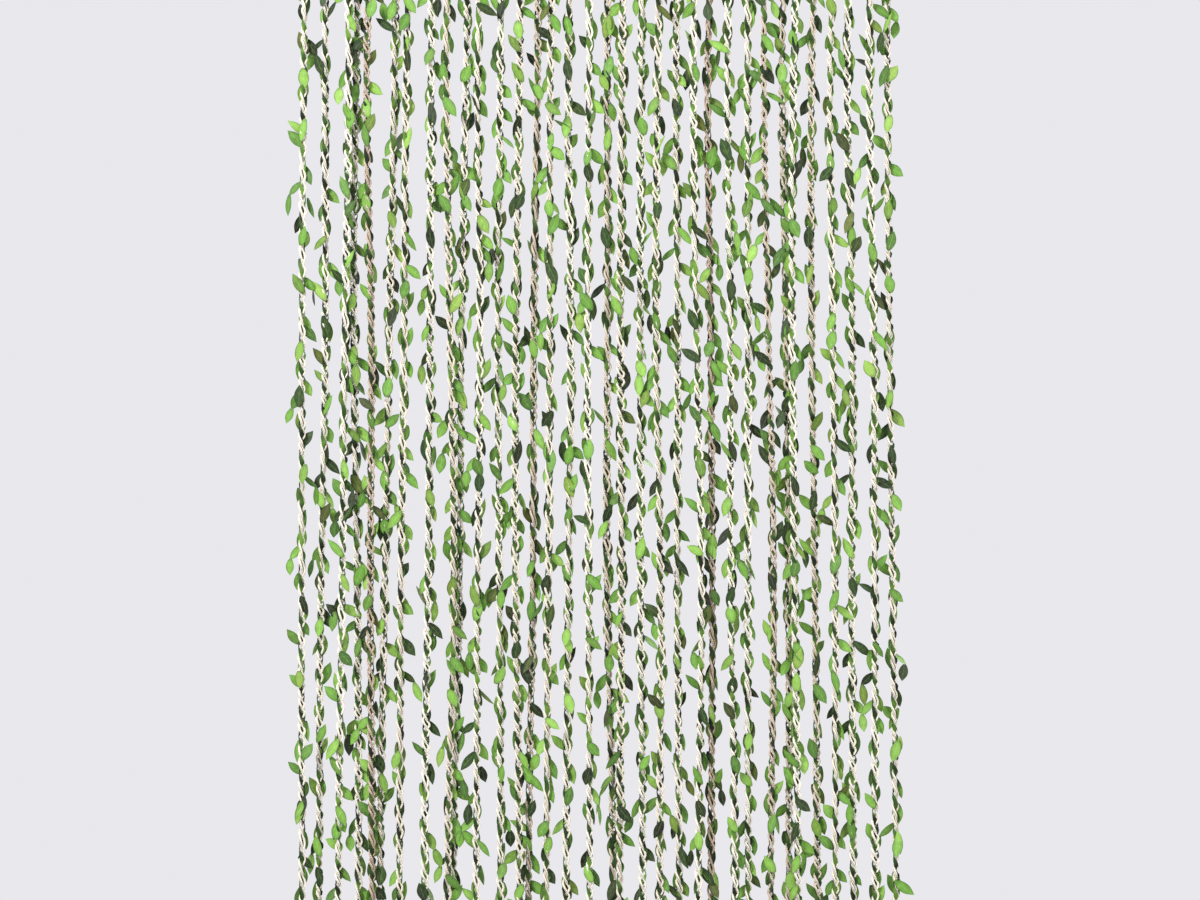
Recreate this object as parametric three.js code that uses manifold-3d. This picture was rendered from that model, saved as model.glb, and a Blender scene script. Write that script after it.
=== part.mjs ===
// Door curtain of plaited leaf strands. Each strand is a plait of two cream cords and one green
// leaf ribbon, and the strands are sewn side by side into a folded cloth tape at the top.
// Millimetres, +Z up. X runs across the doorway, the front faces -Y, and the origin is the
// middle of the top edge, by which the curtain is held up.
import * as THREE from 'three';
import * as BufferGeometryUtils from 'three/addons/utils/BufferGeometryUtils.js';
import Module from 'manifold-3d';

// Driving dimensions
const CURTAIN = { width: 900, drop: 2000, strands: 34, unevenFoot: 18 };
const TAPE = { height: 40, cloth: 1.2, arcSteps: 8 };
const BACKING = { thickness: 1.5, top: 5, foot: 36 };
// The flattened top of a strand, sewn to its backing and coming out just below the tape
const ROOT = { top: 30, foot: 41, halfDepth: 0.6 };
const GAP = 0.3; // between pieces of cloth that lie against each other

// The pair of cream cords in a plait, as one flat strand with a diamond section. Its rings are
// closer together towards the top, where the rows part.
const CORDS = {
  sides: 4, halfWidth: 5.2, halfDepth: 2.6, shoulder: 60, stretches: 12, closerAtTop: 1.5,
};
// The foot of a plait: a bound knot with a short tuft of cord ends under it
const KNOT = {
  swell: 6, // length over which the strand widens into the knot
  height: 12,
  full: 8.4, // how much of the height has the full width
  halfWidth: 6.6,
  halfDepth: 4.6,
  neckWidth: 3.4,
  neckDepth: 2.6,
  tuft: 26,
};

// Every plait turns slowly about its own axis, by this much from the tape to its foot.
const TURN = { least: 140, most: 340, start: 60 };

// The leaf ribbon lies along one face of the cords and turns with them. It is a flat band with a
// leaf standing out at each side in turn, and a low rib down its outer face.
const RIBBON = {
  clearance: 1.8, // from the cords to the band
  halfWidth: 3.4,
  ribHeight: 2.8,
  ribStep: 100,
  rootHalfWidth: 2.5,
  clearOfKnot: 6,
};
const LEAF = {
  pitch: 52, // along one side of the ribbon; the other side's leaves are half of it lower
  reach: { least: 10, most: 15.5 }, // from the plait's axis to the tip
  bend: 0.6, // how far the tip is bent back from the band's outer face
  depth: 7.6, // the most that a tip is in front of or behind the plait's axis
  hanging: { least: 0.55, most: 0.85 }, // where the tip is along its leaf's root
  rising: { least: 0.2, most: 0.4 },
  risingShare: 0.3,
};
// Full strands push each other forward and back in turn, so they hang in two shallow rows.
const ROWS = { offset: 7.9, start: 46, end: 190 };

// Where the sway of each plait is given, in mm below the top edge
const SWAY_DEPTH = { upper: 430, middle: 820, lower: 1210, foot: 1600 };
// How far each plait hangs to the right of its even place, from the left strand to the right one
const SWAY = [
  { upper: -7, middle: -9, lower: -10, foot: -9 },
  { upper: -3, middle: -2, lower: -9, foot: -12 },
  { upper: 8, middle: 2, lower: -2, foot: -8 },
  { upper: -9, middle: -13, lower: -7, foot: -5 },
  { upper: -19, middle: -11, lower: -13, foot: -10 },
  { upper: -4, middle: -12, lower: -19, foot: -26 },
  { upper: -12, middle: -15, lower: -20, foot: -22 },
  { upper: -2, middle: -4, lower: -7, foot: -12 },
  { upper: -5, middle: 1, lower: 7, foot: -3 },
  { upper: -2, middle: -10, lower: -12, foot: -22 },
  { upper: -11, middle: -7, lower: -11, foot: -13 },
  { upper: -4, middle: -8, lower: -5, foot: -4 },
  { upper: -1, middle: -7, lower: -7, foot: -1 },
  { upper: -1, middle: -7, lower: -8, foot: -15 },
  { upper: -8, middle: -9, lower: -11, foot: -14 },
  { upper: -8, middle: -4, lower: -8, foot: -11 },
  { upper: -3, middle: -5, lower: -4, foot: -2 },
  { upper: -2, middle: -2, lower: -3, foot: 7 },
  { upper: -7, middle: -9, lower: -7, foot: -10 },
  { upper: -4, middle: -6, lower: -5, foot: -2 },
  { upper: -6, middle: -9, lower: -1, foot: -3 },
  { upper: -5, middle: -2, lower: -3, foot: 0 },
  { upper: -6, middle: -1, lower: 7, foot: 2 },
  { upper: -10, middle: -6, lower: -3, foot: -5 },
  { upper: -8, middle: -3, lower: -3, foot: 4 },
  { upper: -3, middle: -2, lower: -3, foot: -2 },
  { upper: -7, middle: 0, lower: 9, foot: 4 },
  { upper: -5, middle: 2, lower: 6, foot: 6 },
  { upper: -15, middle: -17, lower: -13, foot: -8 },
  { upper: -13, middle: -13, lower: -8, foot: -4 },
  { upper: -13, middle: -9, lower: -5, foot: -5 },
  { upper: -13, middle: -4, lower: -6, foot: -3 },
  { upper: -8, middle: 0, lower: 1, foot: 2 },
  { upper: -5, middle: -2, lower: 3, foot: 8 },
];

const { degToRad, lerp, smoothstep } = THREE.MathUtils;
const LEVEL = 0.01;
const SAME_CORNER = 1e-4;

// Runs of repeatable numbers: each plait's run starts from step times its index, plus first.
const RUNS = {
  turn: { step: 613, first: 5 },
  foot: { step: 97, first: 0 },
  leaves: { step: 7919, first: 11 },
};
const NEXT = { times: 1664525, plus: 1013904223, below: 2 ** 32 };

const wasm = await Module();
wasm.setup();

// One plait's run of numbers, each between the least and the most that it is asked for
function numbersFor(index, { step, first }) {
  let state = index * step + first;
  return (least = 0, most = 1) => {
    state = (state * NEXT.times + NEXT.plus) % NEXT.below;
    return lerp(least, most, state / NEXT.below);
  };
}

function toSolid(geometry) {
  const bare = geometry.clone();
  bare.deleteAttribute('normal');
  bare.deleteAttribute('uv');
  const merged = BufferGeometryUtils.mergeVertices(bare, SAME_CORNER);
  return new wasm.Manifold(new wasm.Mesh({
    numProp: 3,
    vertProperties: new Float32Array(merged.attributes.position.array),
    triVerts: new Uint32Array(merged.index.array),
  }));
}

function toGeometry(solid) {
  const { vertProperties, triVerts } = solid.getMesh();
  const geometry = new THREE.BufferGeometry();
  geometry.setAttribute('position', new THREE.BufferAttribute(vertProperties, 3));
  geometry.setIndex(new THREE.BufferAttribute(triVerts, 1));
  geometry.computeVertexNormals();
  return geometry;
}

// The line down the middle of one plait: (x, y) at a depth below the top edge
function plaitAxis(index) {
  const sway = SWAY[index];
  const depths = [TAPE.height, ...Object.values(SWAY_DEPTH), CURTAIN.drop];
  const shifts = [0, sway.upper, sway.middle, sway.lower, sway.foot, sway.foot];
  const curve = new THREE.CubicInterpolant(depths, shifts, 1);
  const even = (index + 0.5 - CURTAIN.strands / 2) * (CURTAIN.width / CURTAIN.strands);
  const row = index % 2 ? 1 : -1;
  return (depth) => new THREE.Vector2(
    even + (depth > TAPE.height ? curve.evaluate(depth)[0] : 0),
    row * ROWS.offset * smoothstep(depth, ROWS.start, ROWS.end),
  );
}

// How far one plait has turned about its axis at a depth below the top edge, in radians
function plaitTurn(index) {
  const random = numbersFor(index, RUNS.turn);
  const hand = random() < 0.5 ? -1 : 1;
  const whole = degToRad(hand * random(TURN.least, TURN.most));
  return (depth) => whole * Math.max(0, (depth - TURN.start) / (CURTAIN.drop - TURN.start));
}

// The bottom of one plait. The feet are a little uneven, and the first reaches the full drop.
function footOf(index) {
  const shorter = numbersFor(index, RUNS.foot)(0, CURTAIN.unevenFoot);
  return index === 0 ? CURTAIN.drop : CURTAIN.drop - shorter;
}

// A place beside a plait's axis, given across the plait's flat face and out of it
function turned(middle, turn, across, out) {
  return new THREE.Vector2(across, out).rotateAround(new THREE.Vector2(), turn).add(middle);
}

// A diamond-sectioned strand through rings { depth, middle, turn, halfWidth, halfDepth }, downwards
function diamondStrand(rings) {
  const steps = rings.length - 1;
  const geometry = new THREE.CylinderGeometry(1, 1, steps, CORDS.sides, steps);
  const corner = geometry.attributes.position;
  for (let i = 0; i < corner.count; i += 1) {
    const ring = rings[Math.round(steps / 2 - corner.getY(i))];
    const across = ring.halfWidth * corner.getX(i);
    const place = turned(ring.middle, ring.turn, across, -ring.halfDepth * corner.getZ(i));
    corner.setXYZ(i, place.x, place.y, -ring.depth);
  }
  return geometry;
}

function cordStrand(index) {
  const axis = plaitAxis(index);
  const turnAt = plaitTurn(index);
  const foot = footOf(index);
  const knotTop = foot - KNOT.tuft - KNOT.height;
  const rootY = (BACKING.thickness + GAP) / 2;
  const ring = (depth, halfWidth, halfDepth) => (
    { depth, middle: axis(depth), turn: turnAt(depth), halfWidth, halfDepth }
  );
  const rings = [ROOT.top, ROOT.foot].map((depth) => {
    const root = ring(depth, CORDS.halfWidth, ROOT.halfDepth);
    root.middle.y = rootY;
    return root;
  });
  const start = CORDS.shoulder;
  const end = knotTop - KNOT.swell;
  for (let i = 0; i <= CORDS.stretches; i += 1) {
    const share = (i / CORDS.stretches) ** CORDS.closerAtTop;
    rings.push(ring(lerp(start, end, share), CORDS.halfWidth, CORDS.halfDepth));
  }
  rings.push(
    ring(knotTop, KNOT.halfWidth, KNOT.halfDepth),
    ring(knotTop + KNOT.full, KNOT.halfWidth, KNOT.halfDepth),
    ring(knotTop + KNOT.height, KNOT.neckWidth, KNOT.neckDepth),
    ring(foot, CORDS.halfWidth, CORDS.halfDepth),
  );
  return diamondStrand(rings);
}

// Whether the next face between two ridges steps down the first of them. The more level of the
// two diagonals is taken, or the shorter where they are equally level.
function stepsFirst(ridge, i, other, j) {
  if (i === ridge.length - 1) return false;
  if (j === other.length - 1) return true;
  const slopes = [other[j].z - ridge[i + 1].z, ridge[i].z - other[j + 1].z];
  if (Math.abs(slopes[0] - slopes[1]) > LEVEL) return slopes[0] < slopes[1];
  return ridge[i + 1].distanceTo(other[j]) < ridge[i].distanceTo(other[j + 1]);
}

// A closed three-sided strand whose ridges may have different numbers of points. Each ridge goes
// downwards, and the ridges go anticlockwise seen from above.
function ridgedStrand(ridges) {
  const points = [];
  const firsts = ridges.map((ridge) => {
    const first = points.length;
    points.push(...ridge);
    return first;
  });
  const faces = [];
  ridges.forEach((ridge, side) => {
    const next = (side + 1) % ridges.length;
    const other = ridges[next];
    let i = 0;
    let j = 0;
    while (i < ridge.length - 1 || j < other.length - 1) {
      const here = firsts[side] + i;
      const there = firsts[next] + j;
      if (stepsFirst(ridge, i, other, j)) {
        faces.push(here + 1, there, here);
        i += 1;
      } else {
        faces.push(here, there + 1, there);
        j += 1;
      }
    }
  });
  const lasts = ridges.map((ridge, side) => firsts[side] + ridge.length - 1);
  faces.push(...firsts, ...lasts.reverse());
  const geometry = new THREE.BufferGeometry().setFromPoints(points);
  geometry.setIndex(faces);
  return geometry;
}

// How far a leaf may reach to a side before its tip is too far forward or back
function reachWithin(turn, side, out, reach) {
  const forward = side * Math.sin(turn);
  const room = LEAF.depth - Math.sign(forward) * out * Math.cos(turn);
  return Math.min(reach, room / Math.max(Math.abs(forward), LEVEL));
}

function ribbonStrand(index) {
  const axis = plaitAxis(index);
  const turnAt = plaitTurn(index);
  const random = numbersFor(index, RUNS.leaves);
  const end = footOf(index) - KNOT.tuft - KNOT.height - RIBBON.clearOfKnot;
  const face = -(CORDS.halfDepth + RIBBON.clearance);
  const place = (depth, across, out) => {
    const { x, y } = turned(axis(depth), turnAt(depth), across, out);
    return new THREE.Vector3(x, y, -depth);
  };
  const rootY = -(BACKING.thickness + GAP) / 2;
  const roots = (across, out) => [ROOT.top, ROOT.foot].map((depth) => (
    new THREE.Vector3(axis(depth).x + across, rootY + out, -depth)
  ));

  const start = CORDS.shoulder;
  const rib = roots(0, -ROOT.halfDepth);
  const ribSteps = Math.round((end - start) / RIBBON.ribStep);
  for (let i = 0; i <= ribSteps; i += 1) {
    rib.push(place(lerp(start, end, i / ribSteps), 0, face - RIBBON.ribHeight));
  }

  const edge = (side, shift) => {
    const points = roots(side * RIBBON.rootHalfWidth, ROOT.halfDepth);
    points.push(place(start, side * RIBBON.halfWidth, face));
    for (let top = start + shift; top + LEAF.pitch <= end; top += LEAF.pitch) {
      if (top > start) points.push(place(top, side * RIBBON.halfWidth, face));
      const way = random() < LEAF.risingShare ? LEAF.rising : LEAF.hanging;
      const depth = top + LEAF.pitch * random(way.least, way.most);
      const out = face + LEAF.bend;
      const reach = random(LEAF.reach.least, LEAF.reach.most);
      points.push(place(depth, side * reachWithin(turnAt(depth), side, out, reach), out));
    }
    points.push(place(end, side * RIBBON.halfWidth, face));
    return points;
  };
  return ridgedStrand([rib, edge(1, 0), edge(-1, LEAF.pitch / 2)]);
}

// A narrow strip inside the tape that the roots of all the strands are fused into
function backed(makeStrand, side) {
  const height = BACKING.foot - BACKING.top;
  const strip = new THREE.BoxGeometry(CURTAIN.width, BACKING.thickness, height);
  strip.translate(0, side * (BACKING.thickness + GAP) / 2, -(BACKING.top + height / 2));
  let solid = toSolid(strip);
  for (let index = 0; index < CURTAIN.strands; index += 1) {
    solid = solid.add(toSolid(makeStrand(index)));
  }
  return toGeometry(solid);
}

// One width of cloth tape folded over the backings, seen from its end and drawn out along X
function foldedTape() {
  const inside = (2 * BACKING.thickness + 3 * GAP) / 2;
  const outside = inside + TAPE.cloth;
  const section = new THREE.Shape();
  section.moveTo(-outside, -TAPE.height);
  section.lineTo(-outside, -outside);
  section.absarc(0, -outside, outside, Math.PI, 0, true);
  section.lineTo(outside, -TAPE.height);
  section.lineTo(inside, -TAPE.height);
  section.lineTo(inside, -outside);
  section.absarc(0, -outside, inside, 0, Math.PI, false);
  section.lineTo(-inside, -TAPE.height);
  section.closePath();
  const options = { depth: CURTAIN.width, bevelEnabled: false, curveSegments: TAPE.arcSteps };
  const geometry = new THREE.ExtrudeGeometry(section, options);
  const [alongX, alongY, alongZ] = [
    new THREE.Vector3(1, 0, 0), new THREE.Vector3(0, 1, 0), new THREE.Vector3(0, 0, 1),
  ];
  geometry.applyMatrix4(new THREE.Matrix4().makeBasis(alongY, alongZ, alongX));
  geometry.translate(-CURTAIN.width / 2, 0, 0);
  return geometry;
}

const cream = new THREE.MeshStandardMaterial({ color: 0xe9ddc6, roughness: 0.85, metalness: 0 });
const green = new THREE.MeshStandardMaterial({ color: 0x5f9a35, roughness: 0.6, metalness: 0 });
const ecru = new THREE.MeshStandardMaterial({ color: 0xe4d8c0, roughness: 0.9, metalness: 0 });

function named(name, geometry, material) {
  const mesh = new THREE.Mesh(geometry, material);
  mesh.name = name;
  return mesh;
}

const group = new THREE.Group();
group.add(
  named('heading_tape', foldedTape(), ecru),
  named('cream_cords', backed(cordStrand, 1), cream),
  named('leaf_ribbons', backed(ribbonStrand, -1), green),
);

export default group;
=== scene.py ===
"""Door curtain of plaited cords and leaf ribbons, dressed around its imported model.

Metres, +Z up. X runs across the doorway, the front faces -Y, and the curtain hangs down from
its top edge at the origin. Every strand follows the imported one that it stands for.
"""

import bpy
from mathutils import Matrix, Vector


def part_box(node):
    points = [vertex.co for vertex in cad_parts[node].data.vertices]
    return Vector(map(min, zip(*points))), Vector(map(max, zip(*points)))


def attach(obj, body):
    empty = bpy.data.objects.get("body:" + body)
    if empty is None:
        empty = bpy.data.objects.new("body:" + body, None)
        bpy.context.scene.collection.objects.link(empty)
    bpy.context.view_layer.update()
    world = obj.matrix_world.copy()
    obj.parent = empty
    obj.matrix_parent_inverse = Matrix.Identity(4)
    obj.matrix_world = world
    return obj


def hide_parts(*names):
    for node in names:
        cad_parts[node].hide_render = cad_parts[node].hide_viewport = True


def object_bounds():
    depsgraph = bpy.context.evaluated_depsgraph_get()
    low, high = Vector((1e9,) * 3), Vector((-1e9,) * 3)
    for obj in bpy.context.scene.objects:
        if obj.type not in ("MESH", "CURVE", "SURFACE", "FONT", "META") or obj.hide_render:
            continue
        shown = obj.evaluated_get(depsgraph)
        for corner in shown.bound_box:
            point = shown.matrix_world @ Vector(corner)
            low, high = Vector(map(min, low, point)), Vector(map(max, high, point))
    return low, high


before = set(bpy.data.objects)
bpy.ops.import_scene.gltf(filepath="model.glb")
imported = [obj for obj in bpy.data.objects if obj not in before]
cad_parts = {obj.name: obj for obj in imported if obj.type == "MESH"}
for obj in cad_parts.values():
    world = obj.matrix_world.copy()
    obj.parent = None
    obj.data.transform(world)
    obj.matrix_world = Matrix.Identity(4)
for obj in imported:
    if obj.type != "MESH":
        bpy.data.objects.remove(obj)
cad_box = [list(corner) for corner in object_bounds()]

import math
import random

import bmesh
import bpy
import numpy as np
from mathutils import Vector

TAU = 2 * math.pi
FRONT = np.array([0.0, -1.0, 0.0])
UP = np.array([0.0, 0.0, 1.0])
SHARP_EDGE = math.radians(50)

# Heading tape, a folded strip of cloth
TAPE_CLOTH = 0.0012  # thickness
TAPE_LOW, TAPE_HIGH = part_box("heading_tape")
TAPE_WIDTH = TAPE_HIGH.x - TAPE_LOW.x
TAPE_DROP = TAPE_HIGH.z - TAPE_LOW.z
TAPE_FOLD = TAPE_HIGH.y  # radius of the cloth's outside at the fold
TAPE_CELLS = (272, 32)  # faces along the tape and round it
CURTAIN_DROP = -cad_box[0][2]

# Stitches, and how far they draw the tape in
STITCH_ROWS = (-0.008, -TAPE_DROP + 0.005)  # height of each row
STITCH_PITCH = 0.0045
STITCH_LENGTH = 0.72  # of its pitch
STITCH_STEPS = 5
STITCH_RISE = 0.00022  # how far its middle stands out of the cloth
STITCH_DIP = 0.0006  # how far its ends lie behind its middle
STITCH_SLANT = 0.0003  # how much higher one end is than the other
STITCH_HALF_WIDTH = 0.00042
STITCH_HALF_DEPTH = 0.00036
SEAM_DEPTH = 0.00022
SEAM_HALF_WIDTH = 0.0016
GATHER_DEPTH = 0.00012
GATHER_PITCH = 0.0265  # one gather to a strand
GATHERS_FROM = 0.010  # depth at which the gathers start

# The two strips inside the tape
STRIP_SIZE = (TAPE_WIDTH - 0.002, 0.0013, 0.031)
STRIP_MIDDLES = ((0, 0.0009, -0.0205), (0, -0.0009, -0.0205))
STRIP_ROUNDING = 0.0003

# One strand: two cords and a ribbon, plaited together
STRAND_ROOT = 0.030  # where a strand starts, under the tape's cloth
STRANDS_APART = 1.25 * TAPE_DROP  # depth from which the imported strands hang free
SMOOTHED_OVER = 0.080  # a strand bends no sharper than over this length
PLY_STEP = 0.0032  # from one ring of a ply to the next
PLIES = {"first_cord": 0.0, "second_cord": TAU / 3, "leaf_ribbon": 2 * TAU / 3}
PLAIT_WIDTH = 0.0042  # how far a ply swings to each side of the strand's middle
PLAIT_DEPTH = 0.0019  # how far it swings to the front and back
WIDTH_BY_STRAND = (0.9, 1.12)  # least and most of the plait's width
DEPTH_BY_STRAND = (0.9, 1.1)  # least and most of its depth
PLAIT_REPEAT = (0.040, 0.056)  # length of one repeat of the plait, by the strand
EARLY_FORWARD = math.radians(25)  # a ply is at the front this much of a turn before the middle
FRONT_LINGERING = 0.28  # how much slower a ply goes across the front than on the whole
ROUNDNESS = 1.1  # how far a ply goes round the strand, against how far over and under
CORD_SIDES = 6
CORD_HALF_WIDTH = 0.0020  # half of a cord, which is two thin strings side by side
CORD_HALF_DEPTH = 0.0017
RIBBON_SIDES = 4
RIBBON_HALF_WIDTH = 0.0034
RIBBON_HALF_THICKNESS = 0.0008
CORD_TONES = [0.0, 0.0, 0.05, 0.1, 0.15, 0.25]  # 0 is cream and 1 is brown
BROWNER_STRANDS = {4: 0.9, 8: 0.4, 13: 0.7, 17: 0.55, 23: 0.95, 26: 0.7, 27: 0.6, 29: 0.5}

# Waves down a strand: how strong they are, and the shortest and longest that one may be
LONG_LOOSENING = (0.18, 0.25, 0.5)
SHORT_LOOSENING = (0.17, 0.1, 0.16)
WIDENING = (0.12, 0.09, 0.2)

# How a strand hangs turned
SWAY = math.radians(22)
SWAY_LENGTH = (0.5, 1.0)
TURNING_SHARE = 0.14  # of the strands go round, the others only sway
TURNING = (2.0, 4.0)  # radians to a metre

# Where the tape presses a strand flat
PRESSED_UNTIL = (0.040, 0.075)  # depths over which it comes to its full thickness
PRESSED_THICKNESS = 0.4  # of its cords and ribbon
PRESSED_SWING = 0.3  # of the plait's depth

# The foot of a strand: a bound knot with a tuft under it
KNOT_HEIGHT = 0.012
KNOT_SQUEEZE = 0.45  # how much narrower a strand is in its knot
KNOT_REACH = 0.010  # how far from the knot's middle the squeeze fades
BINDING_TURNS = 3
BINDING_STEPS = 14  # to one turn
BINDING_TOP = 0.0016  # from the top of the knot to the middle of the first turn
BINDING_DROP = KNOT_HEIGHT - 0.0036  # from there to the end of the last turn
BINDING_RADII = (0.0043, 0.0030)  # across the strand and through it
BINDING_NARROWING = 0.18  # how much narrower its top and bottom are than its middle
BINDING_CORD = 0.0019  # radius of its cord
BINDING_TAPER = 0.6  # how much thinner the cord's ends are
TUFT_LENGTH = 0.026
TUFT_THREADS = 10
TUFT_STEPS = 5
TUFT_RADII = (0.0052, 0.0034)  # to the side, and to the front or back
TUFT_HIDDEN = 0.002  # the threads start this far up inside the knot
TUFT_REACH = (0.75, 1.0)  # least and most of the tuft's length that a thread has
TUFT_START = 0.25  # how far out a thread starts, of the radii
TUFT_FLARE = (0.2, 0.7)  # how much further out it ends
THREAD_SIDES = 3
THREAD_RADIUS = 0.0007
THREAD_TAPER = 0.55  # how much thinner it ends

# One leaf
LEAF_LENGTH = (0.027, 0.037)
LEAF_WIDTH = (0.0122, 0.0170)
LEAF_THICKNESS = 0.0009
LEAF_FOLD = 0.16  # how far its sides rise from its midrib, of their width
LEAF_CURL = (-0.02, 0.10, 0.03)  # how far its tip bends out, of its length: least, most, usual
LEAF_TILT = 0.2  # how far it may point to the front or back, of its length
LEAF_SPIN = (28, 68)  # degrees that it is turned about its midrib: usual and most
OLIVE_RARITY = 8  # the higher, the fewer leaves are olive
# Dark leaves are partly the duller back of a leaf and partly painted shade
DARK_SHARE = 0.22
DARK_SHADES = (0.0, 0.16)
LIGHT_SHADES = (0.3, 1.0, 0.62)  # least, most, usual

# How the leaves grow from a strand
FIRST_LEAF = 1.3 * TAPE_DROP  # depth
LAST_LEAF = 0.012  # height above the knot
LEAF_PITCH = 0.0245  # one leaf to this much of a strand
LEAF_SCATTER = 0.6  # how far down its pitch a leaf may start
LEAF_BEHIND = 0.0070  # a leaf starts this far behind the strand's middle, or before it
CURTAIN_HALF_DEPTH = 0.0190  # how far a leaf reaches to the front or back, but for its curl
EITHER_SIDE = 0.0025  # a leaf takes either side where the ribbon is this near the middle
TUCKED_SHARE = 0.24
TUCKED_LEAN = (-5, 17)  # degrees from straight down
TUCKED_SPIN = (15, 60)  # degrees
TUCKED_START = (0.0025, 0.004)  # to the leaf's side, and up
TUCKED_SIZE = 0.9
STANDING_SLANT = (0, 66, 14)  # degrees from upright: least, most, usual
STANDING_START = (0.001, 0.006)  # how far back across the strand from the ribbon it starts
STANDING_BEHIND = 0.7  # this share of them starts behind the strand
FALLING_RIGHT, FALLING_LEFT = 0.6, 0.42  # share of them that points down, by the side
STEEPER = 0.72  # of the slant, for the ones that go down to the left or up to the right
CHAINED_SHARE = 0.1
CHAINED_LEAN = (20, 50)  # degrees from straight down
HANGING_LEAN = (-10, 26)
CHAINED_SIZE = 0.92
CHAINED_AT = 0.9  # of the first leaf's length

# A step and a start for the draws of every strand
STRAND_SEED = (37, 11)
LEAF_SEED = (101, 7)
TUFT_SEED = (53, 3)

# The view
VIEW_MIDDLE = -1.0  # height that the camera looks at
VIEW_DISTANCE = 4.0
VIEW_WIDTH = 1.8  # how much the picture takes in at the curtain
SKY_LIGHT = 0.8  # strength of the sky's light, where its backdrop has 1
FLOOR_HEIGHT = -2.04
FLOOR_HALF_WIDTH = 1.5


# Shader arithmetic


class Value:
    """One output of a node. Arithmetic on it adds Math nodes."""

    def __init__(self, nodes, socket):
        self.nodes = nodes
        self.socket = socket

    def math(self, operation, *others):
        inputs = dict(enumerate((self, *others)))
        return self.nodes.node("Math", {"operation": operation}, inputs)

    def __add__(self, other):
        return self.math("ADD", other)

    def __sub__(self, other):
        return self.math("SUBTRACT", other)

    def __rsub__(self, other):
        return self.nodes.node("Math", {"operation": "SUBTRACT"}, {0: other, 1: self})

    def __mul__(self, other):
        return self.math("MULTIPLY", other)

    def __pow__(self, other):
        return self.math("POWER", other)

    def __abs__(self):
        return self.math("ABSOLUTE")

    def sin(self):
        return self.math("SINE")

    def cos(self):
        return self.math("COSINE")

    def kept_in_range(self):
        return self.nodes.node("Clamp", {}, {"Value": self})

    __radd__ = __add__
    __rmul__ = __mul__


class Nodes:
    """The nodes of a material or of the studio's light."""

    def __init__(self, tree):
        self.tree = tree

    def node(self, kind, settings, inputs, output=0):
        """A new node: its settings are set first, then its inputs. Returns one output."""
        made = self.tree.nodes.new("ShaderNode" + kind)
        for name, value in settings.items():
            if name == "stops":
                set_stops(made.color_ramp, value)
            else:
                setattr(made, name, value)
        for name, value in inputs.items():
            self.feed(made.inputs[name], value)
        return Value(self, made.outputs[output])

    def feed(self, socket, value):
        if isinstance(value, Value):
            self.tree.links.new(value.socket, socket)
        else:
            socket.default_value = value


class Finish(Nodes):
    """A material in the making, on one Principled shader."""

    def __init__(self, name, **constants):
        self.material = bpy.data.materials.new(name)
        self.material.use_nodes = True
        super().__init__(self.material.node_tree)
        self.shader = self.tree.nodes["Principled BSDF"]
        for socket, value in constants.items():
            self.shader.inputs[socket.replace("_", " ")].default_value = value

    def mix(self, factor, first, second):
        return self.node("Mix", {"data_type": "RGBA"}, {0: factor, 6: first, 7: second}, 2)

    def ramp(self, factor, stops):
        return self.node("ValToRGB", {"stops": stops}, {0: factor})

    def attribute(self, name):
        return self.node("Attribute", {"attribute_name": name}, {}, "Fac")

    def uv(self):
        """Across and along, from the piece's own UV map."""
        place = self.node("UVMap", {"uv_map": "UVMap"}, {})
        return [self.node("SeparateXYZ", {}, {0: place}, axis) for axis in "XY"]

    def place(self):
        return self.node("TexCoord", {}, {}, "Object")

    def noise(self, scale, detail=3.0, stretch=None):
        place = self.place()
        if stretch:
            place = self.node("Mapping", {}, {"Vector": place, "Scale": stretch})
        return self.node("TexNoise", {}, {"Vector": place, "Scale": scale, "Detail": detail})

    def finish(self, colour, roughness, height, strength, distance):
        bump = {"Strength": strength, "Distance": distance, "Height": height}
        self.feed(self.shader.inputs["Base Color"], colour)
        self.feed(self.shader.inputs["Roughness"], roughness)
        self.feed(self.shader.inputs["Normal"], self.node("Bump", {}, bump))
        return self.material


def set_stops(ramp, stops):
    while len(ramp.elements) < len(stops):
        ramp.elements.new(1.0)
    for element, (position, colour) in zip(ramp.elements, stops):
        element.position = position
        element.color = colour


def colour(red, green, blue):
    """A screen colour, 0 to 255, as the linear colour that a shader takes."""
    parts = [part / 255 for part in (red, green, blue)]
    linear = [p / 12.92 if p <= 0.04045 else ((p + 0.055) / 1.055) ** 2.4 for p in parts]
    return (*linear, 1.0)


# Finishes


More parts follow.
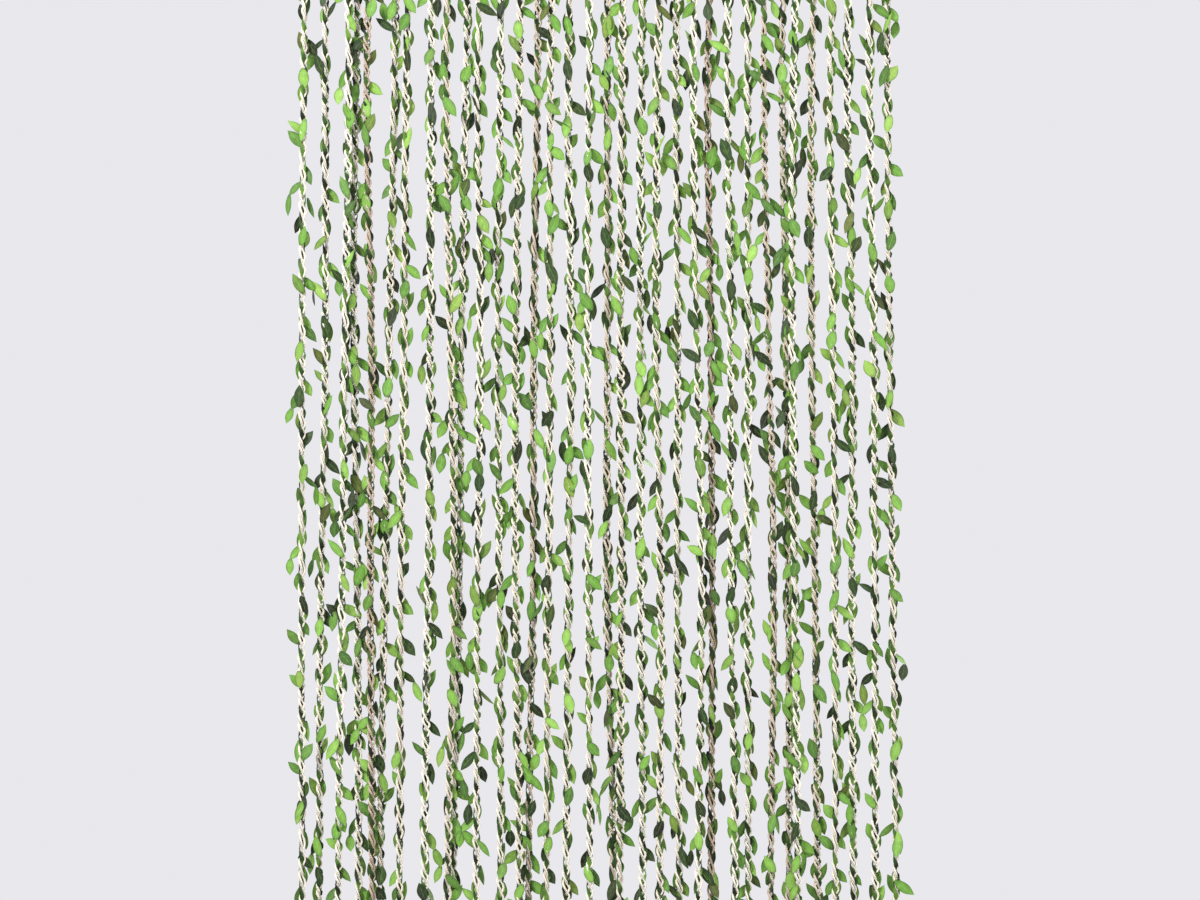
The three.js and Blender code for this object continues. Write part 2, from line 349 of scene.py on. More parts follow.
def cord_finish():
    """Twisted cotton cord, from cream to browner by the strand. A dark slit along its
    outer and its inner face parts it into two strings. The slit, the grooves of its twist and its
    narrow sides are darkened with painted shade, and the sides take some of the cord's own tan."""
    f = Finish("cream_twisted_cord", Specular_IOR_Level=0.3, Sheen_Weight=0.1)
    twists = 600  # over the cord's whole length
    grooves = 2  # side by side round the cord
    around, along = f.uv()
    tone = f.attribute("tone")
    cream = f.mix(tone, colour(255, 253, 240), colour(224, 202, 178))
    groove_shade_and_mottle = f.mix(tone, colour(222, 206, 182), colour(128, 94, 68))
    groove = 0.5 - 0.5 * ((along * twists + around * grooves) * TAU).sin()
    groove = groove ** 3.0
    from_slit = abs((around * TAU).cos())
    slit = (1.25 - from_slit * 3).kept_in_range()
    mottle = f.noise(90.0, 4.0)
    fibre = f.noise(1500.0, 2.0)
    # Painted shade in the grooves of the twist, mixed with the cord's own mottled tone
    base = f.mix((groove * 0.35 + (mottle - 0.5) * 0.4).kept_in_range(), cream, groove_shade_and_mottle)
    # Darker narrow sides: painted shade, with some of the cord's own tan
    side_shade_and_tan = f.mix(tone, colour(190, 164, 134), colour(78, 54, 38))
    base = f.mix((from_slit ** 5.0) * (0.5 + tone * 0.4), base, side_shade_and_tan)
    # Painted shadow in the slit between the cord's two strings
    slit_shadow_colour = f.mix(tone, colour(100, 76, 50), colour(34, 23, 14))
    base = f.mix(slit * (0.75 + (mottle - 0.5) * 0.6).kept_in_range(), base, slit_shadow_colour)
    height = fibre * 0.2 - groove * 0.9 - slit
    return f.finish(base, 0.78 + 0.15 * mottle, height, strength=0.7, distance=0.0006)


def ribbon_finish():
    """Green woven ribbon with fine lengthwise ribs, lighter and darker by stretches, the darkest of
    them painted shade, and darker beside the browner cords."""
    f = Finish("green_leaf_ribbon", Specular_IOR_Level=0.3, Sheen_Weight=0.04)
    ribs = 16
    around = f.uv()[0]
    patches = f.noise(28.0, 2.0)
    # The darkest patches are painted shade for the pockets between the cords; the others are the
    # ribbon's own tone
    shade = f.ramp(patches, [
        (0.38, colour(10, 18, 5)),
        (0.5, colour(48, 84, 26)),
        (0.66, colour(110, 154, 56)),
    ])
    shade = f.mix(f.attribute("tone") * 0.6, shade, colour(16, 27, 10))
    rib = 0.5 + 0.5 * (around * (ribs * TAU)).sin()
    base = f.mix(rib * 0.3, shade, colour(34, 62, 16))
    height = rib + f.noise(900.0) * 0.5
    return f.finish(base, 0.55 + 0.2 * patches, height, strength=0.5, distance=0.0003)


def leaf_finish():
    """Cloth leaf: a pale midrib, slanting veins and a fine weave, bright or dark by the leaf, the
    dark ones partly painted shade, and with painted shade at its edge and its base."""
    f = Finish("green_cloth_leaf", Specular_IOR_Level=0.3, Sheen_Weight=0.05)
    vein_run, vein_slant = 11, 3.2  # radians from base to tip, and from midrib to edge
    across, along = f.uv()
    from_midrib = abs(across - 0.5) * 2
    midrib = (1 - from_midrib * 9).kept_in_range()
    vein = (1 - abs((along * vein_run - from_midrib * vein_slant).sin()) * 3.5).kept_in_range()
    bright = f.attribute("brightness")
    olive = f.attribute("olive")
    # The dark leaves are partly the duller back of a leaf and partly painted shade
    shade = f.ramp(bright, [
        (0.0, colour(6, 11, 4)),
        (0.3, colour(50, 88, 31)),
        (0.62, colour(104, 158, 56)),
        (1.0, colour(152, 198, 88)),
    ])
    shade = f.mix(olive * 0.6, shade, colour(120, 128, 48))
    patches = f.noise(140.0, 3.0)
    streaks = f.noise(420.0, 2.0, stretch=(1.0, 1.0, 0.35))
    light = f.mix(0.2 + bright * 0.35, shade, colour(196, 222, 136))
    dark = f.mix(0.55, shade, colour(20, 40, 16))
    base = f.mix((patches * 1.6 - 0.55).kept_in_range() * 0.7, shade, dark)
    base = f.mix((streaks * 2 - 0.9).kept_in_range() * 0.55, base, light)
    # Painted shade at the leaf's edge and at its base
    edge = (from_midrib ** 6.0) * 0.8 + (1 - along * 5).kept_in_range() * 0.5
    base = f.mix(edge.kept_in_range(), base, colour(18, 34, 12))
    base = f.mix(midrib * 0.55 + vein * 0.16, base, light)
    weave = f.noise(2600.0, 1.0)
    height = weave * 0.3 - midrib - vein * 0.5
    return f.finish(base, 0.46 + 0.2 * patches, height, strength=0.55, distance=0.0004)


def tape_finish():
    """Unbleached cotton tape in a herringbone weave."""
    f = Finish("unbleached_heading_tape", Sheen_Weight=0.2, Sheen_Roughness=0.5)
    zigzag_length, zigzag_height = 0.012, 0.0022
    twill_pitch = 0.0011
    place = f.place()
    x, z = [f.node("SeparateXYZ", {}, {0: place}, axis) for axis in "XZ"]
    zigzag = abs((x * (TAU / zigzag_length)).sin()) * zigzag_height
    twill = 0.5 + 0.5 * ((z + zigzag) * (TAU / twill_pitch)).sin()
    slub = f.noise(60.0, 5.0, stretch=(0.2, 1.0, 3.0))
    base = f.mix(twill * 0.5, colour(200, 190, 168), colour(172, 158, 132))
    base = f.mix((slub * 2 - 0.8).kept_in_range() * 0.35, base, colour(168, 150, 120))
    return f.finish(base, 0.82 + 0.1 * slub, twill + slub * 0.4, strength=0.6, distance=0.0004)


def thread_finish():
    """Cotton sewing thread, with painted shade in the grooves between its plies."""
    f = Finish("sewing_thread", Sheen_Weight=0.1)
    twists = 4  # to a stitch
    around, along = f.uv()
    ply = 0.5 + 0.5 * ((along * twists + around) * TAU).sin()
    # Darker in the grooves between its plies: painted shade
    base = f.mix(ply, colour(222, 212, 190), colour(246, 240, 226))
    return f.finish(base, 0.6 + 0.1 * ply, ply, strength=0.4, distance=0.0002)


def floor_finish():
    """Plain pale floor."""
    f = Finish("pale_floor")
    grain = f.noise(6.0, 4.0)
    base = f.mix(grain, colour(180, 179, 182), colour(188, 187, 190))
    return f.finish(base, 0.7 + 0.1 * grain, grain, strength=0.1, distance=0.001)


# Templates, and the pieces joined from copies of them


class Template:
    """A finished shape's corners, faces and UVs as arrays, from which copies are placed."""

    def __init__(self, bm):
        mesh = finished("template", bm)
        self.corners = read(mesh.vertices, "co", 3)
        self.face_corners = read(mesh.loops, "vertex_index", 1, np.int32)
        self.face_sizes = read(mesh.polygons, "loop_total", 1, np.int32)
        self.uvs = read(mesh.uv_layers[0].data, "uv", 2)
        bpy.data.meshes.remove(mesh)


def finished(name, bm):
    """A bmesh that is done, as a mesh."""
    mesh = bpy.data.meshes.new(name)
    bm.to_mesh(mesh)
    bm.free()
    return mesh


def read(collection, name, width, kind=np.float32):
    values = np.zeros(len(collection) * width, kind)
    collection.foreach_get(name, values)
    return values.reshape(-1, width) if width > 1 else values


def joined(name, template, corners, material, **attributes):
    """One mesh of many copies of a template: corners is (copies, corners, 3), and each
    attribute has one value for a copy."""
    copies, count, _ = corners.shape
    mesh = bpy.data.meshes.new(name)
    mesh.vertices.add(copies * count)
    mesh.vertices.foreach_set("co", corners.astype(np.float32).ravel())
    shift = np.arange(copies, dtype=np.int32)[:, None] * count
    mesh.loops.add(copies * len(template.face_corners))
    mesh.loops.foreach_set("vertex_index", (template.face_corners + shift).ravel())
    sizes = np.tile(template.face_sizes, copies)
    mesh.polygons.add(len(sizes))
    mesh.polygons.foreach_set("loop_start", (np.cumsum(sizes) - sizes).astype(np.int32))
    mesh.polygons.foreach_set("loop_total", sizes)
    mesh.update(calc_edges=True)
    uv_map = mesh.uv_layers.new(name="UVMap")
    uv_map.data.foreach_set("uv", np.tile(template.uvs, (copies, 1)).ravel())
    for key, values in attributes.items():
        layer = mesh.attributes.new(key, "FLOAT", "POINT")
        layer.data.foreach_set("value", np.repeat(values, count).astype(np.float32))
    return piece(name, mesh, material)


def piece(name, mesh, material):
    """A mesh as a piece of the curtain, shaded smooth but for its sharp edges."""
    mesh.shade_smooth()
    mesh.set_sharp_from_angle(angle=SHARP_EDGE)
    mesh.materials.append(material)
    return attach(in_scene(name, mesh), "root")


def in_scene(name, data):
    """A new object of a mesh, a light or a camera."""
    made = bpy.data.objects.new(name, data)
    bpy.context.scene.collection.objects.link(made)
    return made


def tube_template(sides, rows):
    """A closed straight tube. Each corner holds its side in x and its row in z, and the UV map
    runs once around and once along."""
    first_corner = 0.25  # of a turn from +X, where create_cone starts
    bm = bmesh.new()
    bmesh.ops.create_cone(
        bm, segments=sides, radius1=1, radius2=1, depth=rows, cap_ends=True, cap_tris=False
    )
    bmesh.ops.translate(bm, verts=bm.verts, vec=(0, 0, rows / 2))
    long_edges = [e for e in bm.edges if abs(e.verts[0].co.z - e.verts[1].co.z) > rows / 2]
    bmesh.ops.subdivide_edges(bm, edges=long_edges, cuts=rows - 1, use_grid_fill=True)
    uv_layer = bm.loops.layers.uv.new("UVMap")
    for vert in bm.verts:
        side = round((math.atan2(vert.co.y, vert.co.x) / TAU - first_corner) * sides) % sides
        vert.co = (side, 0, round(vert.co.z))
    for face in bm.faces:
        face_sides = {round(v.co.x) for v in face.verts}
        crosses_seam = len(face.verts) == 4 and {0, sides - 1} <= face_sides
        for loop in face.loops:
            side = loop.vert.co.x or (sides if crosses_seam else 0)
            loop[uv_layer].uv = (side / sides, loop.vert.co.z / rows)
    return Template(bm)


def swept(template, lines, flat, half_width, half_depth):
    """Corners of tubes laid along lines, (copies, rows + 1, 3), with an elliptical section.

    flat, with the lines' shape, is the way that the section's thin side faces.
    half_width and half_depth are one value, or one to a row, or one to a row of each copy.
    """
    heading = unit(np.gradient(lines, axis=1))
    wide = unit(np.cross(flat, heading))
    thin = np.cross(heading, wide)
    sides = int(template.corners[:, 0].max()) + 1
    angle = template.corners[:, 0] / sides * TAU
    row = template.corners[:, 2].round().astype(int)
    shape = lines.shape[:2]
    half_width = np.broadcast_to(half_width, shape)[:, row, None]
    half_depth = np.broadcast_to(half_depth, shape)[:, row, None]
    across = wide[:, row] * half_width * np.cos(angle)[None, :, None]
    out = thin[:, row] * half_depth * np.sin(angle)[None, :, None]
    return lines[:, row] + across + out


def unit(vectors):
    return vectors / np.linalg.norm(vectors, axis=-1, keepdims=True)


def eased(values, start, end):
    """0 before start and 1 after end, with a smooth rise between them."""
    share = np.clip((values - start) / (end - start), 0, 1)
    return share * share * (3 - 2 * share)


def draws_of(index, seed):
    """A strand's own random draws, the same on every run."""
    step, start = seed
    return random.Random(index * step + start)


# Strands


def strand_rings():
    """The middle (x, y, depth) of every ring of each packed strand, left to right."""
    bm = bmesh.new()
    bm.from_mesh(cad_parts["cream_cords"].data)
    bmesh.ops.remove_doubles(bm, verts=bm.verts, dist=1e-5)
    above = [v for v in bm.verts if v.co.z > -STRANDS_APART]
    bmesh.ops.delete(bm, geom=above, context="VERTS")
    strands = []
    waiting = set(bm.verts)
    while waiting:
        reached = [waiting.pop()]
        rings = {}
        while reached:
            vert = reached.pop()
            rings.setdefault(round(-vert.co.z, 4), []).append(vert.co.to_2d())
            linked = {e.other_vert(vert) for e in vert.link_edges} & waiting
            waiting -= linked
            reached.extend(linked)
        strands.append([
            (sum(co.x for co in ring) / len(ring), sum(co.y for co in ring) / len(ring), depth)
            for depth, ring in sorted(rings.items())
        ])
    bm.free()
    return sorted(strands)


class Strand:
    """One hanging strand: its middle line, its slow turn, and the way of each ply."""

    def __init__(self, index, rings):
        rings = np.array([(rings[0][0], 0.0, STRAND_ROOT), *rings])
        draw = draws_of(index, STRAND_SEED)
        self.foot = rings[-1, 2]
        self.knot = self.foot - TUFT_LENGTH - KNOT_HEIGHT
        self.rows = round((CURTAIN_DROP - STRAND_ROOT) / PLY_STEP)
        self.depth = np.linspace(STRAND_ROOT, self.foot, self.rows + 1)
        self.x = smoothed(np.interp(self.depth, rings[:, 2], rings[:, 0]))
        self.y = smoothed(np.interp(self.depth, rings[:, 2], rings[:, 1]))
        self.tone = BROWNER_STRANDS.get(index, draw.choice(CORD_TONES))
        self.phase = self.phases(draw)
        self.turn = self.turns(draw)
        freed = eased(self.depth, *PRESSED_UNTIL)
        from_knot = (self.depth - self.knot - KNOT_HEIGHT / 2) / KNOT_REACH
        bound = 1 - KNOT_SQUEEZE * np.exp(-(from_knot ** 2))
        self.fullness = (PRESSED_THICKNESS + (1 - PRESSED_THICKNESS) * freed) * bound
        widening = self.wave(draw, *WIDENING)
        self.width = PLAIT_WIDTH * (draw.uniform(*WIDTH_BY_STRAND) + widening) * bound
        pressed = PRESSED_SWING + (1 - PRESSED_SWING) * freed
        self.swing = PLAIT_DEPTH * draw.uniform(*DEPTH_BY_STRAND) * pressed * bound

    def wave(self, draw, strength, shortest, longest):
        """A wave down the strand, with a length and a start of its own."""
        turns = self.depth * TAU / draw.uniform(shortest, longest)
        return strength * np.sin(turns + draw.uniform(0, TAU))

    def phases(self, draw):
        """The plait's angle down the strand, a little tighter and looser by turns."""
        repeat = draw.uniform(*PLAIT_REPEAT)
        loose = self.wave(draw, *LONG_LOOSENING) + self.wave(draw, *SHORT_LOOSENING)
        step = (self.foot - STRAND_ROOT) / self.rows
        return draw.uniform(0, TAU) + np.cumsum(TAU * step / (repeat * (1 + loose)))

    def turns(self, draw):
        """Most strands only sway and some go slowly round."""
        start = draw.uniform(0, TAU)
        sway = SWAY * np.sin(self.depth * TAU / draw.uniform(*SWAY_LENGTH) + start)
        if draw.random() < TURNING_SHARE:
            return draw.choice((-1, 1)) * self.depth * draw.uniform(*TURNING) + sway
        return sway

    def axes(self):
        """The directions across and through the strand, at every row."""
        level = np.zeros_like(self.turn)
        across = np.stack([np.cos(self.turn), np.sin(self.turn), level], axis=1)
        through = np.stack([-np.sin(self.turn), np.cos(self.turn), level], axis=1)
        return across, through

    def outward(self, start):
        """The way from the strand's middle to one ply, which its flat side faces."""
        across, through = self.axes()
        angle = self.phase + start
        return across * np.sin(angle)[:, None] - through * np.cos(angle + EARLY_FORWARD)[:, None]

    def ply(self, start):
        """The middle of one ply, which goes over and under the others in turn, and nearly
        straight from side to side."""
        across, through = self.axes()
        middle = np.stack([self.x, self.y, -self.depth], axis=1)
        angle = self.phase + start
        angle -= FRONT_LINGERING * np.sin(angle)
        sideways = (np.sin(angle) - np.sin(3 * angle) / 9) / (1 + 1 / 9)
        inwards = np.sin(2 * angle) - ROUNDNESS * np.cos(angle + EARLY_FORWARD)
        middle += across * (self.width * sideways)[:, None]
        return middle + through * (self.swing * inwards)[:, None]


def smoothed(values):
    reach = round(SMOOTHED_OVER / PLY_STEP / 2)
    window = np.hanning(2 * reach + 3)[1:-1]
    return np.convolve(np.pad(values, reach, "edge"), window / window.sum(), "valid")


def plied(name, strands, plies, sides, half_width, half_depth, material):
    """One piece of the named plies of some strands."""
    members = [(strand, PLIES[ply]) for strand in strands for ply in plies]
    template = tube_template(sides, strands[0].rows)
    lines = np.stack([strand.ply(start) for strand, start in members])
    facing = np.stack([strand.outward(start) for strand, start in members])
    fullness = np.stack([strand.fullness for strand, _ in members])
    corners = swept(template, lines, facing, half_width * fullness, half_depth * fullness)
    tone = [strand.tone for strand, _ in members]
    return joined(name, template, corners, material, tone=tone)


def plaited_cords(strands, material):
    """Both cords of every strand, in four pieces: front and back row, left and right half."""
    half = len(strands) // 2
    halves = {"left": range(half), "right": range(half, len(strands))}
    cords = ("first_cord", "second_cord")
    section = (CORD_SIDES, CORD_HALF_WIDTH, CORD_HALF_DEPTH)
    for side, numbers in halves.items():
        for first, row in enumerate(("front", "back")):
            group = [strands[i] for i in numbers if i % 2 == first]
            name = f"plaited_cords_{row}_{side}"
            plied(name, group, cords, *section, material)
    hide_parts("cream_cords")


def plaited_ribbons(strands, material):
    """The leaf ribbon of every strand, a flat ply that folds over at each side."""
    section = (RIBBON_SIDES, RIBBON_HALF_WIDTH, RIBBON_HALF_THICKNESS)
    made = plied("leaf_ribbon_plies", strands, ("leaf_ribbon",), *section, material)
    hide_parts("leaf_ribbons")


# Leaves


def leaf_template():
    """A thin almond blade, closed all round: one unit long in y and one wide in x, blunter at
    its base than at its tip, and thickest along its midrib."""
    base_cut = 0.04  # share of the almond that is cut off at the base
    bluntness, sharpening = 0.6, 0.45  # power of the outline at the base, and its rise to the tip
    bm = bmesh.new()
    bm.loops.layers.uv.new("UVMap")
    bmesh.ops.create_grid(bm, x_segments=2, y_segments=8, size=0.5, calc_uvs=True)
    for vert in bm.verts:
        across, along = vert.co.x * 2, vert.co.y + 0.5
        almond = max(0.0, math.sin(math.pi * (base_cut + (1 - base_cut) * along)))
        fill = almond ** (bluntness + sharpening * along)
        vert.co = (across * fill / 2, along, (1 - across * across) * fill * 0.5)
    under = bmesh.ops.duplicate(bm, geom=bm.verts[:] + bm.edges[:] + bm.faces[:])["geom"]
    under_verts = [g for g in under if isinstance(g, bmesh.types.BMVert)]
    under_faces = [g for g in under if isinstance(g, bmesh.types.BMFace)]
    bmesh.ops.scale(bm, verts=under_verts, vec=(1, 1, -1))
    bmesh.ops.reverse_faces(bm, faces=under_faces)
    bmesh.ops.remove_doubles(bm, verts=bm.verts, dist=1e-4)
    bmesh.ops.dissolve_degenerate(bm, edges=bm.edges, dist=1e-5)
    bmesh.ops.holes_fill(bm, edges=[e for e in bm.edges if e.is_boundary], sides=4)
    bmesh.ops.recalc_face_normals(bm, faces=bm.faces)
    return Template(bm)


class Leaves:
    """Where every leaf starts, which way it points and faces, and its size and shade."""

    def __init__(self):
        self.grown = []

    def add(self, draw, base, side, lean, spin, size=1.0):
        """side is 1 to the right or -1 to the left, lean the angle from straight down, and
        spin how far the blade is turned about its own midrib. Returns a place near its tip."""
        brightness = shade_of(draw)
        length = draw.uniform(*LEAF_LENGTH) * size
        width = draw.uniform(*LEAF_WIDTH) * size
        tilt = draw.uniform(-LEAF_TILT, LEAF_TILT)
        outward = math.copysign(1, base[1])
        # Neither the tip nor the side of the turned blade leaves the curtain's depth
        room = CURTAIN_HALF_DEPTH - abs(base[1])
        most = min(room, 2 * (room - width / 2 * abs(math.sin(spin)))) / length
        tilt = outward * min(tilt * outward, most)
        heading = unit(np.array([side * math.sin(lean), tilt, -math.cos(lean)]))
        face = unit(FRONT - heading * heading.dot(FRONT))
        across = np.cross(heading, face)
        self.grown.append({
            "base": base,
            "heading": heading,
            "normal": face * math.cos(spin) + across * math.sin(spin),
            "length": length,
            "width": width,
            "curl": draw.triangular(*LEAF_CURL) * outward,
            "brightness": brightness,
            "olive": draw.random() ** OLIVE_RARITY,
        })
        return base + heading * length * CHAINED_AT

    def each(self, name):
        return np.array([leaf[name] for leaf in self.grown])

    def corners(self, template):
        base, heading, normal = (self.each(name) for name in ("base", "heading", "normal"))
        length, width, curl = (self.each(name)[:, None] for name in ("length", "width", "curl"))
        across, along, height = template.corners.T
        fold = np.abs(across) * width * LEAF_FOLD
        lift = height * LEAF_THICKNESS + fold + curl * length * along**2
        return (
            base[:, None]
            + np.cross(heading, normal)[:, None] * (across * width)[..., None]
            + heading[:, None] * (along * length)[..., None]
            + normal[:, None] * lift[..., None]
        )


def shade_of(draw):
    """How bright a leaf is: about a fifth are dark, partly as the duller back of a leaf and
    partly as painted shade, and the rest are mid to bright.
    """
    if draw.random() < DARK_SHARE:
        return draw.uniform(*DARK_SHADES)
    return draw.triangular(*LIGHT_SHADES)


def spin_of(draw):
    usual, most = LEAF_SPIN
    return math.radians(max(-most, min(most, draw.gauss(0, usual))))


def leaves_of(strand, index, leaves):
    """Every leaf grows from the ribbon, to the side that the ribbon is on there."""
    draw = draws_of(index, LEAF_SEED)
    ribbon = strand.ply(PLIES["leaf_ribbon"])
    last = strand.knot - LAST_LEAF
    for place in np.arange(FIRST_LEAF, last, LEAF_PITCH):
        depth = min(last, place + draw.uniform(0, LEAF_SCATTER) * LEAF_PITCH)
        x, y, ribbon_x, height = (
            np.interp(depth, strand.depth, line)
            for line in (strand.x, strand.y, ribbon[:, 0], ribbon[:, 2])
        )
        base = np.array([ribbon_x, y, height])
        side = 1 if ribbon_x - x + draw.uniform(-EITHER_SIDE, EITHER_SIDE) > 0 else -1
        chance = draw.random()
        if chance < TUCKED_SHARE:
            tucked_leaf(draw, leaves, base, side)
        elif chance < 1 - CHAINED_SHARE:
            standing_leaf(draw, leaves, base, side)
        else:
            chained_leaves(draw, leaves, base, side)


def tucked_leaf(draw, leaves, base, side):
    """Lies down the strand, most often slanting down from left to right."""
    lean = math.radians(draw.uniform(*TUCKED_LEAN))
    sideways, up = TUCKED_START
    start = base + np.array([side * sideways, LEAF_BEHIND, up])
    spin = math.radians(draw.uniform(*TUCKED_SPIN)) * side
    leaves.add(draw, start, 1, lean, spin, TUCKED_SIZE)


def standing_leaf(draw, leaves, base, side):
    """Stands out to the side, up or down, most often slanting down from left to right."""
    falls = draw.random() < (FALLING_RIGHT if side > 0 else FALLING_LEFT)
    slant = draw.triangular(*STANDING_SLANT) * (STEEPER if falls == (side < 0) else 1)
    lean = math.radians(slant if falls else 180 - slant)
    away = LEAF_BEHIND if draw.random() < STANDING_BEHIND else -LEAF_BEHIND
    start = base + np.array([-side * draw.uniform(*STANDING_START), away, 0.0])
    leaves.add(draw, start, side, lean, spin_of(draw))


def chained_leaves(draw, leaves, base, side):
    """Two leaves tip to base, the second hanging from the first."""
    lean = math.radians(draw.uniform(*CHAINED_LEAN))
    start = base + np.array([0.0, LEAF_BEHIND, 0.0])
    tip = leaves.add(draw, start, side, lean, spin_of(draw), CHAINED_SIZE)
    lean = math.radians(draw.uniform(*HANGING_LEAN))
    leaves.add(draw, tip, side, lean, spin_of(draw), CHAINED_SIZE)


def hung_leaves(strands, material):
    """All leaves, in two pieces: one on the front row of strands and one on the back row."""
    template = leaf_template()
    for first, name in enumerate(("leaves_front_row", "leaves_back_row")):
        leaves = Leaves()
        for index in range(first, len(strands), 2):
            leaves_of(strands[index], index, leaves)
        shades = {key: leaves.each(key) for key in ("brightness", "olive")}
        joined(name, template, leaves.corners(template), material, **shades)


# Feet


def foot_bindings(strands, material):
    """Turns of cord round the foot of every strand."""
    steps = BINDING_TURNS * BINDING_STEPS
    template = tube_template(CORD_SIDES, steps)
    share = np.linspace(0, 1, steps + 1)
    from_middle = np.abs(share - 0.5) * 2
    narrowed = 1 - BINDING_NARROWING * from_middle
    lines = []
    for strand in strands:
        angle = share * BINDING_TURNS * TAU + strand.phase[-1]
        across = BINDING_RADII[0] * narrowed * np.cos(angle)
        through = BINDING_RADII[1] * narrowed * np.sin(angle)
        turn = strand.turn[-1]
        x = strand.x[-1] + across * math.cos(turn) - through * math.sin(turn)
        y = strand.y[-1] + across * math.sin(turn) + through * math.cos(turn)
        depth = strand.knot + BINDING_TOP + share * BINDING_DROP
        lines.append(np.stack([x, y, -depth], axis=1))
    lines = np.stack(lines)
    facing = np.broadcast_to(UP, lines.shape)
    radius = BINDING_CORD * (1 - BINDING_TAPER * from_middle ** 8)
    corners = swept(template, lines, facing, radius, radius)
    tone = [strand.tone for strand in strands]
    joined("foot_bindings", template, corners, material, tone=tone)


def foot_tufts(strands, material):
    """Frayed cord ends under every binding."""
    template = tube_template(THREAD_SIDES, TUFT_STEPS)
    share = np.linspace(0, 1, TUFT_STEPS + 1)
    lines = []
    for index, strand in enumerate(strands):
        draw = draws_of(index, TUFT_SEED)
        for _ in range(TUFT_THREADS):
            angle = draw.uniform(0, TAU)
            fall = share * TUFT_LENGTH * draw.uniform(*TUFT_REACH)
            out = TUFT_START + draw.uniform(*TUFT_FLARE) * share**1.4
            x = strand.x[-1] + TUFT_RADII[0] * math.cos(angle) * out
            y = strand.y[-1] + TUFT_RADII[1] * math.sin(angle) * out
            z = -(strand.knot + KNOT_HEIGHT - TUFT_HIDDEN) - fall
            lines.append(np.stack([x, y, z], axis=1))
    lines = np.stack(lines)
    facing = np.broadcast_to(FRONT, lines.shape)
    radius = THREAD_RADIUS * (1 - THREAD_TAPER * share)
    corners = swept(template, lines, facing, radius, radius)
    tone = np.repeat([strand.tone for strand in strands], TUFT_THREADS)
    joined("foot_tufts", template, corners, material, tone=tone)


# Heading


def heading_cloth(material):
    """The tape folded over the roots of the strands, drawn in along its rows of stitches.
    Returns the piece, and how long its cloth was before the fold."""
    straight = TAPE_DROP - TAPE_FOLD
    fold = math.pi * TAPE_FOLD
    length = 2 * straight + fold
    bm = bmesh.new()
    bmesh.ops.create_grid(bm, x_segments=TAPE_CELLS[0], y_segments=TAPE_CELLS[1], size=0.5)
    for vert in bm.verts:
        x = vert.co.x * TAPE_WIDTH
        run = (vert.co.y + 0.5) * length
        if run < straight:
            y, z = -TAPE_FOLD, -TAPE_DROP + run
        elif run > straight + fold:
            y, z = TAPE_FOLD, -TAPE_DROP + length - run
        else:
            angle = (run - straight) / TAPE_FOLD
            y = -TAPE_FOLD * math.cos(angle)
            z = -TAPE_DROP + straight + TAPE_FOLD * math.sin(angle)
        if z < -TAPE_FOLD:
            y -= math.copysign(drawn_in(x, z), y)
        vert.co = (x, y, z)
    bmesh.ops.recalc_face_normals(bm, faces=bm.faces)
    bmesh.ops.solidify(bm, geom=bm.faces[:], thickness=TAPE_CLOTH)
    bmesh.ops.recalc_face_normals(bm, faces=bm.faces)
    made = piece("heading_cloth", finished("heading_cloth", bm), material)
    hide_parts("heading_tape")
    return made, 2 * straight + math.pi * (TAPE_FOLD - TAPE_CLOTH / 2)


def drawn_in(x, z):
    """How far the cloth is drawn in at a place, most along its stitches."""
    seams = sum(math.exp(-(((z - row) / SEAM_HALF_WIDTH) ** 2)) for row in STITCH_ROWS)
    gathers = 0.5 + 0.5 * math.cos(x * TAU / GATHER_PITCH)
    return SEAM_DEPTH * seams + GATHER_DEPTH * gathers * eased(np.float64(-z), GATHERS_FROM, TAPE_DROP)


def heading_stitches(material):
    """Rows of stitches through both sides of the tape."""
    template = tube_template(4, STITCH_STEPS)
    share = np.linspace(-0.5, 0.5, STITCH_STEPS + 1)
    rise = STITCH_RISE - STITCH_DIP * (share * 2) ** 4
    count = int(TAPE_WIDTH / STITCH_PITCH) - 1
    lines = []
    for z in STITCH_ROWS:
        for face in (-1, 1):
            for i in range(count):
                x = (i - (count - 1) / 2) * STITCH_PITCH
                along = x + share * STITCH_PITCH * STITCH_LENGTH
                out = face * (TAPE_FOLD - drawn_in(x, z) + rise)
                lines.append(np.stack([along, out, z + share * STITCH_SLANT], axis=1))
    lines = np.stack(lines)
    facing = np.broadcast_to(FRONT, lines.shape)
    corners = swept(template, lines, facing, STITCH_HALF_WIDTH, STITCH_HALF_DEPTH)
    return joined("heading_stitches", template, corners, material)


def backing_strips(material):
    """The strips inside the tape that the roots of the cords and the ribbons are sewn to."""
    bm = bmesh.new()
    for middle in STRIP_MIDDLES:
        strip = bmesh.ops.create_cube(bm, size=1)["verts"]
        bmesh.ops.scale(bm, verts=strip, vec=STRIP_SIZE)
        bmesh.ops.translate(bm, verts=strip, vec=middle)
    bmesh.ops.bevel(
        bm,
        geom=bm.edges[:],
        offset=STRIP_ROUNDING,
        segments=2,
        profile=0.5,
        affect="EDGES",
        material=-1,
    )
    made = piece("backing_strips", finished("backing_strips", bm), material)
    return made


# The view: camera, light and floor


def camera():
    """Looks straight at the curtain's front."""
    data = bpy.data.cameras.new("camera")
    data.lens = data.sensor_width * VIEW_DISTANCE / VIEW_WIDTH
    made = in_scene("camera", data)
    made.location = (0, -VIEW_DISTANCE, VIEW_MIDDLE)
    made.rotation_euler = (math.pi / 2, 0, 0)
    bpy.context.scene.camera = made


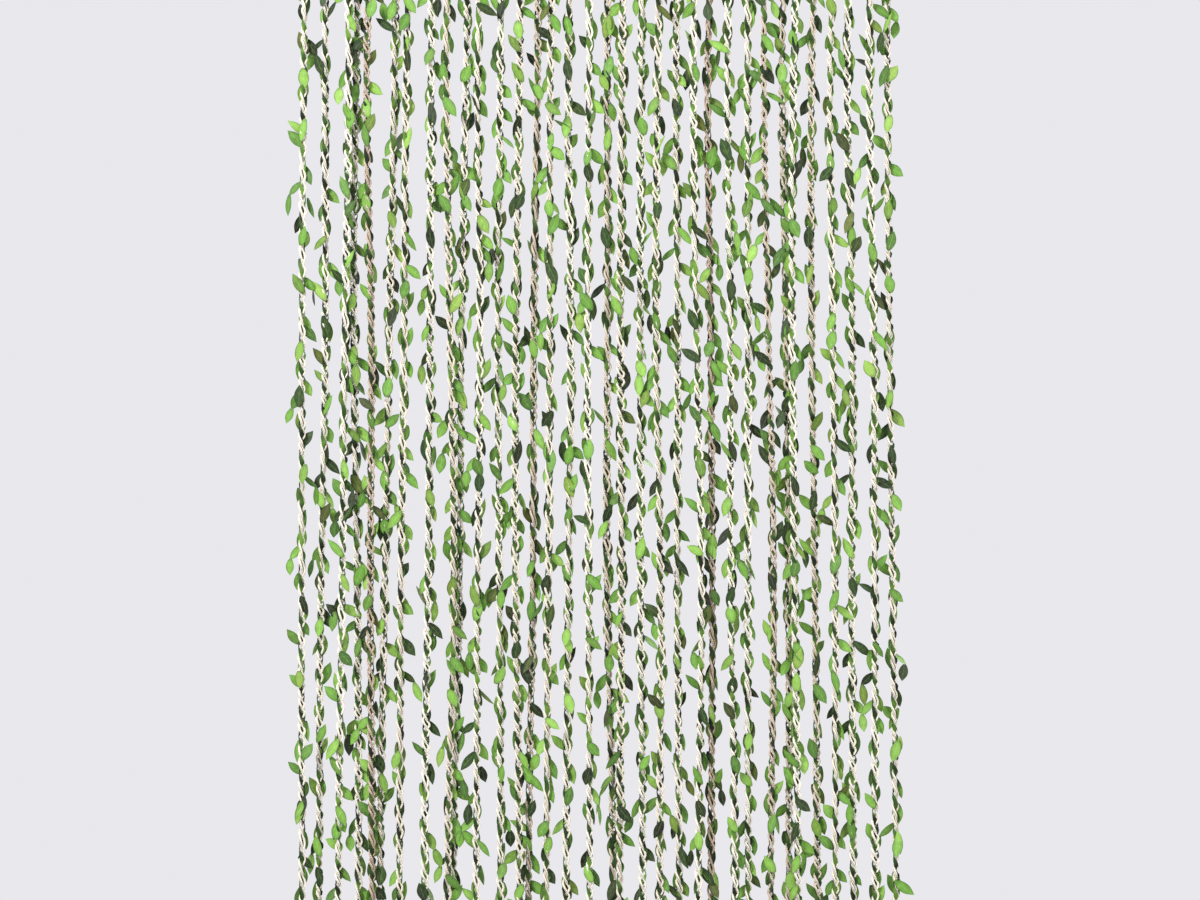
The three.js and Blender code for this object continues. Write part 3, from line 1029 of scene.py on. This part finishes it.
def area_light(name, place, towards, size, watts):
    data = bpy.data.lights.new(name, "AREA")
    data.size = size
    data.energy = watts
    made = in_scene(name, data)
    made.location = place
    direction = Vector([t - p for t, p in zip(towards, place)])
    made.rotation_euler = direction.to_track_quat("-Z", "Y").to_euler()


def studio():
    """A pale sky that lights evenly, a pale backdrop that only the camera sees, and three soft
    lights."""
    world = bpy.data.worlds.new("pale_studio")
    world.use_nodes = True
    sky = Nodes(world.node_tree)
    pale = colour(233, 232, 236)
    lighting = sky.node("Background", {}, {"Color": pale, "Strength": SKY_LIGHT})
    backdrop = sky.node("Background", {}, {"Color": pale, "Strength": 1.0})
    seen = sky.node("LightPath", {}, {}, "Is Camera Ray")
    either = sky.node("MixShader", {}, {0: seen, 1: lighting, 2: backdrop})
    sky.feed(world.node_tree.nodes["World Output"].inputs["Surface"], either)
    bpy.context.scene.world = world
    bpy.context.scene.view_settings.view_transform = "Standard"
    area_light("key", (-1.8, -2.6, 0.9), towards=(0, 0, -1.0), size=1.0, watts=140)
    area_light("fill", (2.2, -2.4, -0.4), towards=(0, 0, -1.1), size=1.6, watts=40)
    area_light("back", (1.6, 2.8, 0.4), towards=(0, 0, -1.0), size=1.6, watts=90)


def floor():
    bm = bmesh.new()
    bmesh.ops.create_grid(bm, x_segments=4, y_segments=4, size=FLOOR_HALF_WIDTH)
    bmesh.ops.translate(bm, verts=bm.verts, vec=(0, 0, FLOOR_HEIGHT))
    mesh = finished("floor", bm)
    mesh.materials.append(floor_finish())
    in_scene("floor", mesh)


def build():
    camera()
    studio()
    floor()
    strands = [Strand(index, rings) for index, rings in enumerate(strand_rings())]
    cord, ribbon, leaf = cord_finish(), ribbon_finish(), leaf_finish()
    tape, thread = tape_finish(), thread_finish()
    plaited_cords(strands, cord)
    plaited_ribbons(strands, ribbon)
    hung_leaves(strands, leaf)
    foot_bindings(strands, cord)
    foot_tufts(strands, cord)
    cloth, cut_length = heading_cloth(tape)
    stitches = heading_stitches(thread)
    strips = backing_strips(tape)


build()
